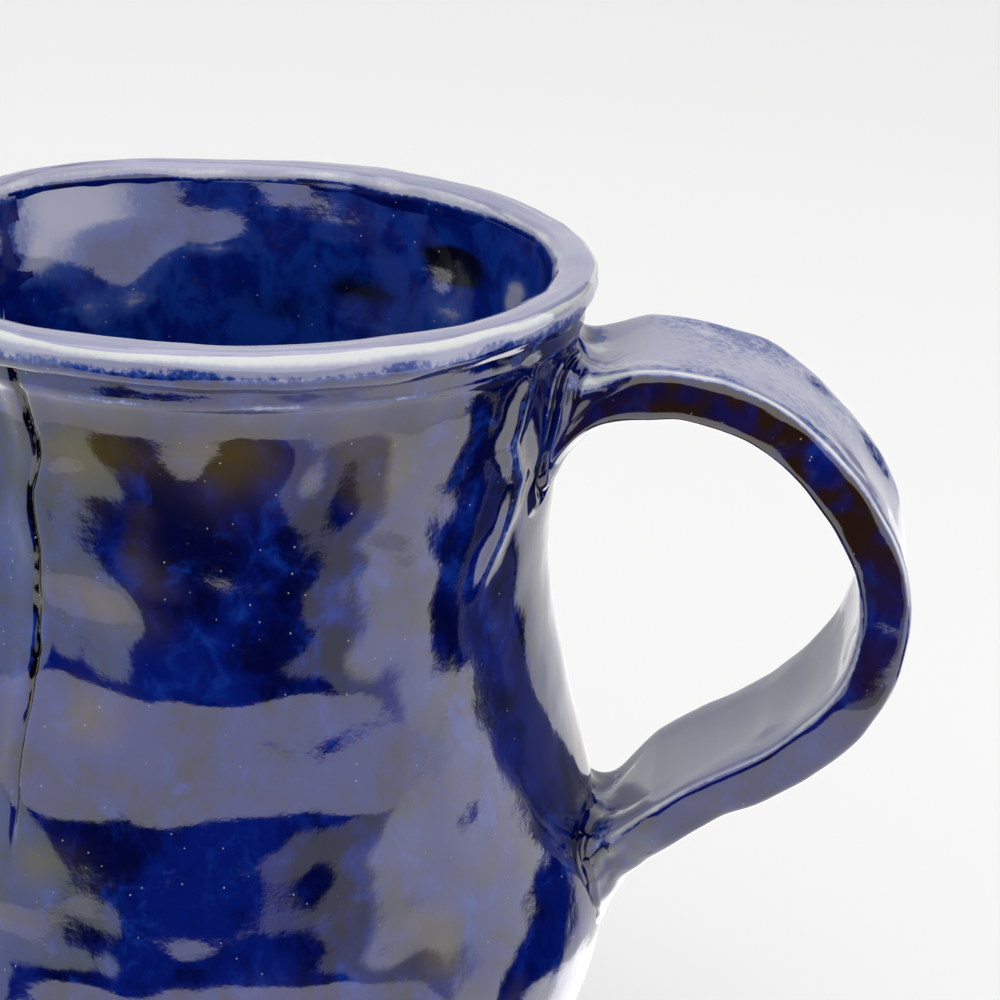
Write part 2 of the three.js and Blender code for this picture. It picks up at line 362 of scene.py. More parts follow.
# How far in from an open end, as a share of the first step, a grid gets one more sample.
HOLD = 0.03


def hold_ends(values):
    """Adds samples close to both ends of a grid along v, which keeps a cap from tilting the shading there."""
    first = (1 - HOLD) * values[:, :1] + HOLD * values[:, 1:2]
    last = (1 - HOLD) * values[:, -1:] + HOLD * values[:, -2:-1]
    return np.concatenate([values[:, :1], first, values[:, 1:-1], last, values[:, -1:]], 1)


def grid_mesh(name, grid, closed_v, thin_glaze_and_painted_light=None, warm=None, flip=False):
    """A closed mesh from a grid of points in millimetres that closes on itself along u.

    Open ends along v are capped. thin and warm are painted on the points for the glaze to read, and flip
    turns the faces the other way out.
    """
    if not closed_v:
        grid, thin_glaze_and_painted_light, warm = (values if values is None else hold_ends(values) for values in (grid, thin_glaze_and_painted_light, warm))
    rows, columns = grid.shape[:2]
    vertices = grid.reshape(-1, 3)
    a, b = np.meshgrid(np.arange(rows), np.arange(columns if closed_v else columns - 1), indexing="ij")
    a, b = a.ravel(), b.ravel()
    a2, b2 = (a + 1) % rows, (b + 1) % columns
    faces = np.stack([a * columns + b, a2 * columns + b, a2 * columns + b2, a * columns + b2], -1).tolist()
    if not closed_v:
        centres = []
        for edge in (0, columns - 1):
            ring = np.arange(rows) * columns + edge
            centre = len(vertices) + len(centres)
            centres.append(vertices[ring].mean(0))
            for one, two in zip(ring.tolist(), np.roll(ring, -1).tolist()):
                faces.append([centre, one, two] if edge else [centre, two, one])
        vertices = np.vstack([vertices, centres])
    if flip:
        faces = [face[::-1] for face in faces]
    mesh = bpy.data.meshes.new(name)
    mesh.from_pydata((vertices * MM).tolist(), [], faces)
    mesh.polygons.foreach_set("use_smooth", np.ones(len(faces), bool))
    for label, values in (("thin_glaze_and_painted_light", thin_glaze_and_painted_light), ("warm", warm)):
        painted = np.zeros(len(vertices), np.float32)
        if values is not None:
            painted[: values.size] = values.ravel()
        mesh.attributes.new(label, "FLOAT", "POINT").data.foreach_set("value", painted)
    mesh.update()
    piece = bpy.data.objects.new(name, mesh)
    bpy.context.scene.collection.objects.link(piece)
    return piece


def place(piece, slot, material, node):
    """Gives a piece its material, hangs it under the root body and hides the CAD part it takes the place of.
    """
    piece.data.materials.append(material)
    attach(piece, "root")
    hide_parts(node)


def spread(count, low, high, peaks=()):
    """Samples from low to high, crowded round peaks of (place, width, strength)."""
    fine = np.linspace(low, high, 4001)
    weight = np.ones_like(fine)
    for centre, width, strength in peaks:
        weight += strength * bell(fine, centre, width)
    total = np.concatenate([[0], np.cumsum((weight[1:] + weight[:-1]) / 2)])
    return np.interp(np.linspace(0, total[-1], count), total, fine)


# ------------------------------------------------------------------------------------- pieces


# The wall stops in a notch behind the spout. On each side it is this much narrower than the spout, and drops
# over this turn, in radians; its floor stands this far above the spout's bottom.
NOTCH_INSET = 0.14
NOTCH_BLEND = 0.03
NOTCH_FLOOR = 2.5

# How far below the wall's top its last sample lies, which keeps that edge crisp.
EDGE = 0.03

# Brown patches in the glaze: turn from the camera in degrees, level, half width and strength.
BROWN_PATCHES = [
    (-23, 130, 7, 0.9), (0, 132, 8, 0.9), (-20, 108, 6, 0.7),
    (-23, 92, 5, 0.7), (-28, 70, 5, 0.6), (8, 47, 6, 0.5),
]

# Dents pressed into the inside under the rim: azimuth in degrees, level, half width, half height and depth.
DIMPLES = [(125, 135, 8, 5, 0.9), (103, 139, 6, 3.2, 0.6), (53, 135.5, 8.5, 6.5, 1.7), (72, 129, 9, 4, 0.35)]


def flare_beside(angle):
    """Where the lip opens out most: at the back, beside the spout."""
    return bell(turn_between(angle, math.radians(131)), 0, math.radians(19))


def inside_point(angle, level, proud):
    """Points on the inside of the wall, proud of it by a distance."""
    point = wall_point(angle, level, inward=WALL + proud - lip_flare(angle, level), marks=0.8)
    push = 0.3 * noise(point * [1, 1, 1.5], 12, 74) * smooth(level, 60, 100)
    for azimuth, height, wide, tall, deep in DIMPLES:
        sideways = turn_between(angle, math.radians(azimuth)) * outline_radius(height)
        push += deep * bell(sideways, 0, wide) * bell(level, height, tall)
    return point + push[..., None] * away_from_axis(angle)


def lip_flare(angle, level):
    """How far the inside opens out under the rim: a little, and more at the back beside the spout."""
    return (0.5 + 3.0 * flare_beside(angle)) * smooth(level, 131, 145)


def below_ceiling(levels, low, ceiling):
    """Levels from low to the wall's top, brought down so that each column ends at its own ceiling."""
    return low + (levels - low)[None, :] * (ceiling - low)[:, None] / (WALL_TOP - low)


def body_brown_patches(grid):
    """How brown the glaze is at each point of the outside."""
    warm = np.zeros(grid.shape[:2])
    azimuth = np.arctan2(grid[..., 1], grid[..., 0])
    for turn, height, wide, amount in BROWN_PATCHES:
        sideways = turn_between(azimuth, VIEW_AZIMUTH + math.radians(turn)) * ARC
        away = np.hypot(sideways, (grid[..., 2] - height) * 1.3) + 2.5 * noise(grid, 6, 63)
        warm += amount * bell(away, 0, wide)
    return warm


def make_body(material):
    """The wall, up its outside and down its inside."""
    angles = spread(441, -math.pi, math.pi, [(SEAM, 0.05, 3.5), (FRONT + 0.2, 0.9, 0.9)])[:-1]
    rising = np.append(spread(170, GLAZE_LINE, WALL_TOP - EDGE), WALL_TOP)
    falling = np.append(WALL_TOP, np.linspace(WALL_TOP - EDGE, BASE_TOP - 2.0, 52))
    notch = SPOUT_HALF_ANGLE - NOTCH_INSET
    cut = 1 - smooth(np.abs(turn_between(angles, math.pi)), notch - NOTCH_BLEND, notch)
    ceiling = WALL_TOP - cut * (WALL_TOP - SPOUT_BOTTOM - NOTCH_FLOOR)

    a = np.repeat(angles[:, None], len(rising), 1)
    level = below_ceiling(rising, GLAZE_LINE, ceiling)
    outer = wall_point(a, level)
    # Along the seam the glaze is painted near black: glaze pooled in the crease, and painted shade in it.
    ink = bell(beside_seam(a, level, outline_point(a, level)), 0, 0.75) * smooth(level, 84, 100)
    ridge = 0.45 * bell(level, HEIGHT - 8.4, 0.8) * (1 - cut[:, None])
    above_foot = np.clip((level - GLAZE_LINE) / 2.2, 0, 1)
    roll = np.sqrt(1 - (1 - above_foot) ** 2) * (1 - smooth(level, GLAZE_LINE + 2, GLAZE_LINE + 12))
    outer += (ridge + 0.8 * roll)[..., None] * away_from_axis(a)
    a = np.repeat(angles[:, None], len(falling), 1)
    inner = inside_point(a, below_ceiling(falling, falling[-1], ceiling), 0.0)
    grid = np.concatenate([outer, inner], 1)

    on_outside, on_inside = np.s_[:, : len(rising)], np.s_[:, len(rising) :]
    normal = grid_normals(grid, True, True)
    creased = crest(grid, normal, 5, True, True) * (1 - smooth(grid[..., 2], HEIGHT - 12, HEIGHT - 9))
    thin_glaze_and_painted_light = 2.0 * creased
    rubbed = noise(grid * [1, 1, 3], 9, 62)[on_outside]
    thin_glaze_and_painted_light[on_outside] += (0.3 + 0.5 * rubbed) * bell(outer[..., 2], HEIGHT - 8.6, 0.55)
    thin_glaze_and_painted_light[on_outside] += 0.5 * (1 - smooth(outer[..., 2], GLAZE_LINE + 0.5, GLAZE_LINE + 2))
    thin_glaze_and_painted_light[on_outside] -= 1.2 * np.clip(ink * (0.8 + 0.9 * noise(outer, 3, 76)), 0, 1)
    # Painted reflection: the inside of the flared lip beside the spout is painted pale, as if reflecting the
    # light it faces.
    pale = 0.66 * flare_beside(angles)[:, None] * smooth(inner[..., 2], 134, 139)
    swirl = bell(turn_between(angles, math.radians(27)), 0, 0.26)[:, None] * bell(inner[..., 2], 136, 5)
    thin_glaze_and_painted_light[on_inside] += pale + swirl * (0.3 + 0.8 * noise(inner * [1, 1, 1.4], 9, 65))
    warm = body_brown_patches(grid)
    # Painted light: the inside is made bluer and evener all round, and most on the side the light falls on.
    lit = smooth(np.cos(angles - math.radians(60)), -0.2, 0.8)
    warm[on_inside] -= 0.8 * (0.4 + 0.6 * lit)[:, None]
    place(grid_mesh("pitcher_body", grid, True, thin_glaze_and_painted_light, warm), "body_glaze", material, "body_wall")


def make_base(clay, coat):
    """The slab under the wall: a bare foot ring below, and the same glaze as the body inside."""
    angles = np.linspace(-math.pi, math.pi, 240, endpoint=False)
    foot = outline_radius(0.0)
    profile = catmull([
        (0.0, 0.9), (foot - 9, 0.9), (foot - 7, 0.5), (foot - 5.5, 0.0), (foot - 3, 0.0), (foot - 1.2, 0.0),
        (foot - 0.1, 0.5), (outline_radius(1.6), 1.6), (outline_radius(3.4) - 0.1, 3.4),
        (outline_radius(5.5) - 1.5, 5.5), (outline_radius(7.5) - 3.5, 7.5), (foot - 3, 8.0),
        (foot - 8, BASE_TOP + 0.3), (foot - 20, BASE_TOP), (0.0, BASE_TOP + 0.2),
    ], 8)[1:-1]
    a = angles[:, None]
    level = profile[None, :, 1] + 0 * a
    points = polar(profile[None, :, 0], a, level)
    lift = smooth(level, 0.4, 2.0)
    points[..., 2] += lift * (0.15 * noise(points, 14, 11) + 0.05 * noise(points, 3, 12))
    points[..., :2] *= 1 + (lift * 0.004 * noise(points, 11, 13))[..., None]
    piece = grid_mesh("pitcher_base", points, False)
    piece.data.materials.append(clay)
    place(piece, "foot_clay", coat, "base_slab")
    glazed = [p.center.z > (GLAZE_LINE + 2.6) * MM for p in piece.data.polygons]
    piece.data.polygons.foreach_set("material_index", np.array(glazed, dtype=np.int32))


# Samples round the section of the rim.
RIM_SAMPLES = 96


def squared(value, corner):
    """A sine or cosine made squarer, for a section with corners: the more, the squarer."""
    return np.sign(value) * np.abs(value) ** (2 / corner)


def rim_grid(angles):
    """The rim's coil at each angle, its section running anticlockwise from its outer side."""
    t = np.linspace(0, 2 * math.pi, RIM_SAMPLES, endpoint=False)
    across, up = squared(np.cos(t), 2.7) / 2, squared(np.sin(t), 2.7) / 2
    a = np.repeat(angles[:, None], RIM_SAMPLES, 1)
    ring = polar(RIM_RADIUS, a, 0 * a)
    thickness = RIM_THICKNESS * (1 + 0.1 * noise(ring, 23, 21) + 0.05 * noise(ring, 9, 22))
    height = RIM_HEIGHT * (1 + 0.09 * noise(ring, 19, 23) + 0.05 * noise(ring, 7, 24))
    middle = RIM_RADIUS - thickness / 2 + 0.35 * noise(ring, 21, 25)
    level = HEIGHT - height / 2 - 0.15 + 0.35 * noise(ring, 30, 26)
    pull = spout_pull(a, np.full_like(a, HEIGHT))
    radius = middle + across[None, :] * thickness + SPOUT_REACH * pull
    opened = 3.0 * flare_beside(a) - 0.15
    radius += opened * smooth(-across, -0.25, 0.42)[None, :]
    z = level + up[None, :] * height + SPOUT_LIFT * pull
    z += 0.35 * across[None, :] * np.where(up > 0, 1, 0.2)[None, :]
    points = polar(radius, a, z)
    normal = grid_normals(points, False, True)
    run = a * RIM_RADIUS
    folds = noise(np.stack([run, across * 150 + 0 * run, up * 90 + 0 * run], -1), 26, 29)
    marks = 0.2 * noise(points, 13, 27) + 0.08 * noise(points, 6, 28) + 0.16 * folds + worked_surface(points)
    return points + normal * marks[..., None]


def rim_thinness_and_reflection(points):
    """Cream where the glaze breaks on the rim's outer edge, a painted lilac reflection on its top, and blue
    below.
    """
    t = np.linspace(0, 360, RIM_SAMPLES, endpoint=False)
    t = np.where(t > 290, t - 360, t)[None, :] + 12 * noise(points * [1, 1, 2], 12, 61)
    outer_edge = smooth(t, -38, 36) * (1 - smooth(t, 38, 54))
    # Painted reflection: the rim's top face, lit from above, is painted lilac.
    top = smooth(t, 34, 50) * (1 - smooth(t, 158, 182))
    blue_line = smooth(noise(points, 30, 66), -0.1, 0.35) * bell(t, 44, 5)
    inner_edge = bell(t, 146, 14)
    streaks = 0.12 * noise(points * [1, 1, 6], 8, 64)
    return np.clip(outer_edge + (0.70 + streaks) * top + 0.14 * inner_edge - 0.55 * blue_line, 0, 1.1)


def make_rim(material):
    end = math.pi - SPOUT_HALF_ANGLE + 0.03
    grid = rim_grid(spread(620, -end, end))
    thin_glaze_and_painted_light = rim_thinness_and_reflection(grid).T
    piece = grid_mesh("pitcher_rim", np.transpose(grid, (1, 0, 2)), False, thin_glaze_and_painted_light, flip=True)
    place(piece, "rim_glaze", material, "rim_coil")


def make_spout(material):
    """The pulled lip: the wall and rim of the spout's sector as one closed shell."""
    half = SPOUT_HALF_ANGLE + 0.015
    angles = spread(200, math.pi - half, math.pi + half)
    bottom = SPOUT_BOTTOM - 1.5
    rise = np.linspace(bottom, HEIGHT - 5.5, 60)
    a = np.repeat(angles[:, None], len(rise), 1)
    level = np.repeat(rise[None, :], len(angles), 0)
    edge = np.abs(turn_between(a, math.pi))
    seam = np.maximum(smooth(edge, half - 0.2, half), 1 - smooth(level, bottom, bottom + 7))
    proud = 0.14 * (1 - seam) - 0.05 * seam
    outer = wall_point(a, level, inward=-proud)
    inner = inside_point(a, level, proud)[:, ::-1]
    lip = rim_grid(angles)
    over = (np.arange(56) - 10) % RIM_SAMPLES
    joins = len(rise), len(rise) + len(over)
    grid = np.concatenate([outer, lip[:, over], inner], 1)
    thin_glaze_and_painted_light = np.zeros(grid.shape[:2])
    # The spout's lip takes the rim's painting, with the painted reflection on its top.
    thin_glaze_and_painted_light[:, slice(*joins)] = rim_thinness_and_reflection(lip)[:, over]
    grid = np.transpose(blur_band(grid, *joins), (1, 0, 2))
    piece = grid_mesh("pitcher_spout", grid, False, thin_glaze_and_painted_light.T, flip=True)
    place(piece, "spout_glaze", material, "pouring_spout")


def blur_band(grid, *joins):
    """Rounds the joins between stretches of a section by blurring a few samples each side of them."""
    soft = blur(grid, 14, False, True)
    index = np.arange(grid.shape[1])
    weight = sum(bell(index, join, 5.0) for join in joins)
    weight = np.clip(weight, 0, 1)[None, :, None]
    return grid * (1 - weight) + soft * weight


# ------------------------------------------------------------------------------------- handle

# The middle of the strap from its upper to its lower end, as (distance from the axis, level).
STRAP_LINE = [
    (54.5, HEIGHT - 15.6),
    (62, HEIGHT - 15.2),
    (70, HEIGHT - 15.1),
    (81, HEIGHT - 18.4),
    (91.5, HEIGHT - 27),
    (99, HEIGHT - 38.5),
    (101, HEIGHT - 50),
    (97.7, HEIGHT - 61.7),
    (88.5, HEIGHT - 72),
    (76.5, HEIGHT - 79.5),
    (69, HEIGHT - 85),
    (64.5, HEIGHT - 89),
]


# Samples round the strap's section and along it, and its first and last column outside the joints.
STRAP_ROWS = 240
STRAP_COLUMNS = 330
STRAP_BARE = (24, 309)

# Blisters and pits on the strap: millimetres along it, across it, face (-1 outer, 1 inner), radius and height.
BLISTERS = [
    (17, 11, -1, 3.2, 0.5), (46, 3, -1, 2.6, 0.7), (54, -7, -1, 1.6, 0.4),
    (88, 2, 1, 2.4, 0.6), (94, -9, 1, 1.5, -0.5),
]


def even(points, count):
    """The same line as count points at even distances along it, and those distances."""
    run = np.concatenate([[0], np.cumsum(np.linalg.norm(np.diff(points, axis=0), axis=1))])
    at = np.linspace(0, run[-1], count)
    return np.stack([np.interp(at, run, column) for column in points.T], -1), at


def strap_grid():
    """The strap's points, the distance along it of each column and how far out its section is at each row."""
    line, run = even(catmull(STRAP_LINE, 24), STRAP_COLUMNS)
    tangent = np.gradient(line, axis=0)
    tangent /= np.linalg.norm(tangent, axis=1)[:, None]
    t = np.linspace(0, 2 * math.pi, STRAP_ROWS, endpoint=False)
    flat, thick = squared(np.cos(t), 10.0), squared(np.sin(t), 5.6)
    share = run / run[-1]
    seed = np.stack([run, 0 * run, 0 * run], -1)
    width = STRAP_WIDTH * (1 + 0.03 * noise(seed, 31, 31) + 0.02 * noise(seed, 12, 32))
    depth = STRAP_THICKNESS * (1 + 0.04 * noise(seed, 27, 33) + 0.08 * bell(share, 0.72, 0.15))
    y = flat[:, None] * width[None, :] / 2
    out = thick[:, None] * depth[None, :] / 2
    hollow = 0.55 * (1 - (2 * y / width[None, :]) ** 2) * np.sign(out)
    out = out - hollow * np.minimum(np.abs(thick[:, None]), 1)
    y = y - 0.22 * out * smooth(share, 0.5, 0.68)[None, :]
    x = line[None, :, 0] + tangent[None, :, 1] * out
    z = line[None, :, 1] - tangent[None, :, 0] * out
    return np.stack([x, y, z], -1), run, thick


def strap_marks(points):
    """What hands leave in the strap, in millimetres square to it."""
    return 0.45 * noise(points, 15, 34) + 0.24 * noise(points, 7, 35) + 1.6 * worked_surface(points)


def strap_glaze(turn, share, points):
    """How pale the strap is painted, from its section's turn in degrees and its share of length: the glaze
    breaks over its edges, and its upward faces and its near side lower down carry painted reflection.
    """
    turn = turn + 4 * noise(points, 8, 68)
    later = smooth(share, 0.45, 0.62)
    # Pale edges where the glaze breaks, strongest beside the upward face, where they are partly painted
    # reflection too.
    outer_edge = bell(turn, 221, 13) * (1 - 0.8 * later)
    inner_edge = bell(turn, 142, 12) * (0.35 + 0.65 * later)
    edges = (0.95 + 0.3 * noise(points, 9, 69)) * np.maximum(outer_edge, inner_edge) + 0.4 * bell(turn, 322, 9)
    # Painted reflection of the light above: the face that looks up is painted pale, the outer one on the upper
    # arm and the inner one on the lower arm, and the near side a little on the lower arm.
    outer_face = 0.54 * band(turn, 226, 318, 6) * (1 - 0.7 * later)
    inner_face = 0.66 * band(turn, 40, 136, 6) * later
    near_side = 0.13 * band(turn, 150, 214, 8) * later
    faces = (outer_face + inner_face + near_side) * (1 + (0.3 - 0.16 * later) * noise(points, 16, 70))
    return np.maximum(edges, faces)


def uneven(points):
    """How strongly an iron stain shows from place to place, from 0 to 1."""
    return np.clip(0.72 + 0.8 * noise(points, 9, 72) + 0.7 * noise(points * [1, 1, 1.3], 3.5, 73), 0, 1)


def near_edge_stain(points):
    """The brown along the strap's edge on the camera's side."""
    return smooth(-points[..., 1], STRAP_WIDTH * 0.38, STRAP_WIDTH * 0.45)


def make_handle(material):
    """The strap between its two joints."""
    grid, run, thick = strap_grid()
    normal = grid_normals(grid, True, False)
    marks = strap_marks(grid)
    for along, across, face, wide, high in BLISTERS:
        away = np.hypot((run[None, :] - along) / 1.5, grid[..., 1] - across)
        marks = marks + high * bell(away, 0, wide) * (thick[:, None] * face > 0.5)
    bare = slice(*STRAP_BARE)
    grid = (grid + normal * marks[..., None])[:, bare]
    share = (run / run[-1])[None, bare]
    thin_glaze_and_painted_light = strap_glaze(np.linspace(0, 360, STRAP_ROWS, endpoint=False)[:, None], share, grid)
    warm = near_edge_stain(grid) * (1 - 0.8 * smooth(share, 0.4, 0.6)) * uneven(grid)
    piece = grid_mesh("handle_strap_clay", grid, False, thin_glaze_and_painted_light, warm, flip=True)
    place(piece, "handle_glaze", material, "handle_strap")


def bridge(start, leave, end, arrive, v):
    """Curves from start to end that keep straight for a moment at each end."""
    v = v[None, :, None]
    start, leave, end, arrive = (value[:, None, :] for value in (start, leave, end, arrive))
    turned = v**3 * (10 - 15 * v + 6 * v * v)
    return (1 - turned) * (start + leave * v) + turned * (end - arrive * (1 - v))


# Samples along a joint from the strap to the wall, how stiffly it leaves the strap and meets the wall, and how
# far it reaches into the wall.
JOINT_COLUMNS = 120
JOINT_LEAVE = 0.8
JOINT_ARRIVE = 0.9
JOINT_DEPTH = 0.8


def joint_grid(end, landing_place):
    """A fillet of clay from the strap's section at its column end to a footprint on the wall."""
    strap = strap_grid()[0]
    strap = strap + grid_normals(strap, True, False) * strap_marks(strap)[..., None]
    ring = strap[:, end]
    onwards = (strap[:, end - 2] if end < STRAP_COLUMNS / 2 else strap[:, end + 2]) - ring
    onwards /= np.linalg.norm(onwards, axis=1)[:, None]
    centre = ring.mean(0)
    ring = centre + (ring - centre) * 0.9995
    side, level = landing_place
    angle = side / outline_radius(level)
    landing = wall_point(angle, level, inward=JOINT_DEPTH)
    heart = (level.min() + level.max()) / 2
    outwards = landing - wall_point(0.7 * angle, heart + 0.7 * (level - heart), inward=-0.7)
    outwards /= np.linalg.norm(outwards, axis=1)[:, None]
    reach = np.linalg.norm(landing - ring, axis=1)[:, None]
    v = np.linspace(0, 1, JOINT_COLUMNS) ** 0.9
    return bridge(ring, onwards * reach * JOINT_LEAVE, landing, outwards * reach * JOINT_ARRIVE, v)


def footprint(marks):
    """A footprint on the wall, as sideways reach and level at each of the strap section's samples.

    marks are (turn, reach, level) for one half of the section, from the strap's inner face at -90 degrees
    through its edge at 0 to its outer face at 90; the other half is the same, mirrored.
    """
    curve = catmull(marks, 30)
    t = np.degrees(np.linspace(0, 2 * math.pi, STRAP_ROWS, endpoint=False))
    far_half = np.cos(np.radians(t)) >= 0
    fold = -np.where(far_half, (t + 180) % 360 - 180, 180 - t)
    side = np.interp(fold, curve[:, 0], curve[:, 1]) * np.where(far_half, 1, -1)
    return side, np.interp(fold, curve[:, 0], curve[:, 2])


def finish_joint(name, node, material, grid, seed, creases, stained, end_share):
    """Works a joint's surface, paints it and places it.

    creases are (place along it, turn where it begins, turn where it ends, width, depth); end_share is the
    strap's own share of length where the joint takes over its glaze.
    """
    normal = grid_normals(grid, True, False)
    outwards = -1 if (normal * (grid - grid.mean((0, 1)))).sum() < 0 else 1
    normal = normal * outwards
    rows, columns = grid.shape[:2]
    t = np.degrees(np.linspace(0, 2 * math.pi, rows, endpoint=False))[:, None]
    v = np.linspace(0, 1, columns)[None, :]
    own = smooth(v, 0.1, 0.5) * (1 - smooth(v, 0.7, 0.95))
    marks = own * (0.5 * noise(grid, 9, seed) + 0.2 * noise(grid, 4.5, seed + 1))
    # The grooves are painted dark: glaze pooled in them, and painted shade.
    dark = np.zeros(grid.shape[:2])
    for place_along, begins, ends, wide, deep in creases:
        line = bell(v + 0.05 * noise(grid, 11, seed + 2) - 0.0008 * (t - 190), place_along, wide)
        groove = line * smooth(t, begins, begins + 16) * (1 - smooth(t, ends - 16, ends))
        groove = groove * (1 - smooth(v, 0.85, 0.95))
        marks = marks - deep * groove + 0.5 * deep * np.roll(groove, -5, 1)
        dark = np.maximum(dark, groove * min(deep, 1.0))
    grid = grid + normal * marks[..., None]
    normal = grid_normals(grid, True, False) * outwards
    thin_glaze_and_painted_light = 1.2 * crest(grid, normal, 6, True, False) + 0.3 * crest(grid, normal, 30, True, False)
    thin_glaze_and_painted_light = np.clip(thin_glaze_and_painted_light * smooth(v, 0.15, 0.5), 0, 0.8) * (1 - dark) - 0.5 * dark
    thin_glaze_and_painted_light = thin_glaze_and_painted_light + strap_glaze(t, end_share, grid) * (1 - smooth(v, 0.3, 0.8))
    warm = stained * near_edge_stain(grid) * (1 - smooth(v, 0.35, 0.7)) * uneven(grid)
    piece = grid_mesh(name, grid, False, thin_glaze_and_painted_light, warm, flip=outwards < 0)
    place(piece, "joint_glaze", material, node)


def make_joints(material):
    top = HEIGHT - 9.5
    tongue = footprint([
        (-90, 0, top - 19), (-60, 9, top - 22), (-35, 16, top - 27), (-18, 20, top - 30), (-4, 22.5, top - 25),
        (10, 21, top - 17), (30, 19, top - 7), (55, 15, top - 1), (90, 0, top),
    ])
    creases = [(0.5, 188, 252, 0.04, 0.35), (0.68, 150, 262, 0.035, 0.7)]
    upper = joint_grid(STRAP_BARE[0] + 2, tongue)
    finish_joint("handle_root_upper", "handle_upper_joint", material, upper, 41, creases, 1.0, 0.0)
    foot = footprint([
        (-90, 0, 64), (-60, 13, 62), (-30, 17.5, 58), (0, 16, 52), (30, 13.5, 45), (60, 8, 40), (90, 0, 38),
    ])
    creases = [(0.55, 130, 200, 0.05, 0.4), (0.76, 120, 230, 0.04, 0.4)]
    lower = joint_grid(STRAP_BARE[1] - 3, foot)
    finish_joint("handle_root_lower", "handle_lower_joint", material, lower, 51, creases, 0.2, 1.0)


# ------------------------------------------------------------------------------------- materials


class Tree:
    """A short way to write a material's nodes."""

    def __init__(self, name):
        self.material = bpy.data.materials.new(name)
        self.material.use_nodes = True
        self.tree = self.material.node_tree
        self.shader = self.tree.nodes["Principled BSDF"]

    def node(self, kind, inputs=None, **settings):
        """A new node with its settings and inputs, each a value or another node's socket."""
        made = self.tree.nodes.new(kind)
        for key, value in settings.items():
            setattr(made, key, value)
        for key, value in (inputs or {}).items():
            self.feed(made.inputs[key], value)
        return made

    def feed(self, socket, value):
        if isinstance(value, bpy.types.NodeSocket):
            self.tree.links.new(value, socket)
        else:
            socket.default_value = value

    def math(self, operation, a, b=0.0, clamp=False):
        made = self.node("ShaderNodeMath", {0: a, 1: b}, operation=operation, use_clamp=clamp)
        return made.outputs[0]

    def step(self, value, low, high, bottom=0.0, top=1.0):
        """Eases from bottom where value is low to top where it is high."""
        inputs = {"Value": value, "From Min": low, "From Max": high, "To Min": bottom, "To Max": top}
        made = self.node("ShaderNodeMapRange", inputs, interpolation_type="SMOOTHSTEP")
        return made.outputs[0]

    def mix(self, factor, a, b):
        made = self.node("ShaderNodeMix", data_type="RGBA")
        for socket, value in ((made.inputs[0], factor), (made.inputs[6], a), (made.inputs[7], b)):
            self.feed(socket, value)
        return made.outputs[2]

    def noise(self, coordinates, scale, detail=3.0, rough=0.55, warp=0.0):
        inputs = {"Vector": coordinates, "Scale": scale, "Detail": detail, "Roughness": rough}
        return self.node("ShaderNodeTexNoise", {**inputs, "Distortion": warp}).outputs["Fac"]

    def painted(self, name):
        """What a mesh's points are painted with under a name."""
        return self.node("ShaderNodeAttribute", attribute_name=name).outputs["Fac"]

    def raised(self, height, strength, distance):
        """Turns a height into the shader's bump."""
        bump = self.node("ShaderNodeBump", {"Strength": strength, "Distance": distance, "Height": height})
        self.feed(self.shader.inputs["Normal"], bump.outputs[0])


# The darkest glaze, pooled in creases and in narrow ones partly painted shade, its four blues, the two
# tones of glaze that breaks thinly, which also stand for painted reflections and glints, and its two browns.
INK = (0.0006, 0.0006, 0.002, 1)
NAVY = (0.0003, 0.0008, 0.016, 1)
COBALT = (0.0005, 0.0035, 0.066, 1)
MILKY = (0.003, 0.022, 0.16, 1)
BREAKING_BLUE = (0.010, 0.026, 0.13, 1)
LILAC = (0.135, 0.14, 0.205, 1)
CREAM = (0.26, 0.28, 0.28, 1)
OLIVE = (0.034, 0.024, 0.005, 1)
IRON = (0.009, 0.004, 0.003, 1)


